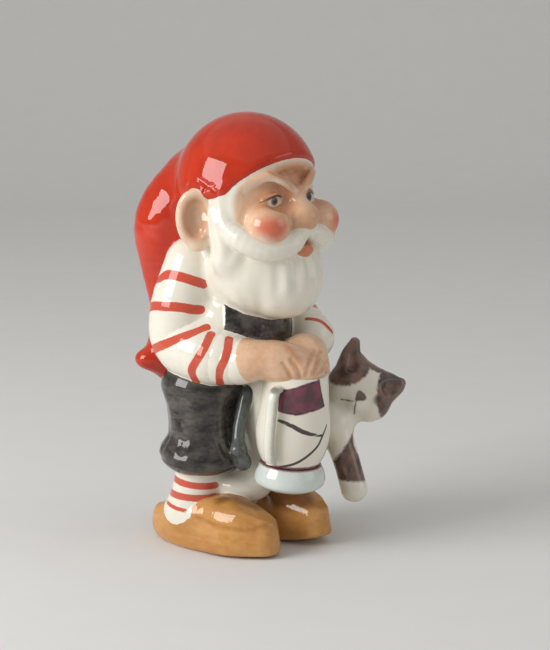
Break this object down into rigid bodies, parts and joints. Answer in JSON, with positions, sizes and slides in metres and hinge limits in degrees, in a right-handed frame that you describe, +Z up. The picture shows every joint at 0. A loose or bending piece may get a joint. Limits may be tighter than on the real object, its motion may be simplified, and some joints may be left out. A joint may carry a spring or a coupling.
{
  "type": "porcelain gnome figurine",
  "caption": "Glazed porcelain figurine of a bearded gnome in a hanging stocking cap and clogs, leaning on a handled jug with a patched cat under one arm.",
  "frame": {"origin": "on the ground plane, under the middle of the figurine's bounding box", "axes": "+Z up, the gnome faces -Y, the gnome's own left side and the cat are at +X"},
  "size_m": [0.07, 0.0652, 0.1296],
  "materials": {
    "white_glaze": "clear gloss over white porcelain",
    "red_glaze": "clear gloss over brushed red-orange",
    "grey_glaze": "clear gloss over brushed dark grey",
    "ochre_glaze": "clear gloss over ochre brown",
    "skin_glaze": "clear gloss over soft skin tone",
    "teal_glaze": "clear gloss over pale blue-green",
    "brown_glaze": "clear gloss over patched brown and white",
    "pink_glaze": "clear gloss over pink-orange"
  },
  "bodies": {
    "root": {"clog_right": "ochre_glaze", "clog_left": "ochre_glaze", "stocking_right": "white_glaze", "stocking_left": "white_glaze", "jug_support": "white_glaze", "breeches_right": "grey_glaze", "breeches_left": "grey_glaze", "knee_tie_right": "grey_glaze", "knee_tie_left": "grey_glaze", "vest": "grey_glaze", "shirt_trunk": "white_glaze", "sleeve_right": "white_glaze", "sleeve_left": "white_glaze", "beard": "white_glaze", "hand_right": "skin_glaze", "hand_left": "skin_glaze", "head": "skin_glaze", "ear_right": "skin_glaze", "ear_left": "skin_glaze", "moustache": "white_glaze", "lower_lip": "pink_glaze", "cap_crown": "red_glaze", "cap_tail": "red_glaze", "cat_head": "brown_glaze", "cat_body": "brown_glaze", "cat_foreleg": "brown_glaze", "cat_hind_leg": "brown_glaze", "cat_tail": "brown_glaze", "jug_foot": "teal_glaze", "jug_body": "white_glaze", "jug_handle": "white_glaze"}
  },
  "joints": []
}
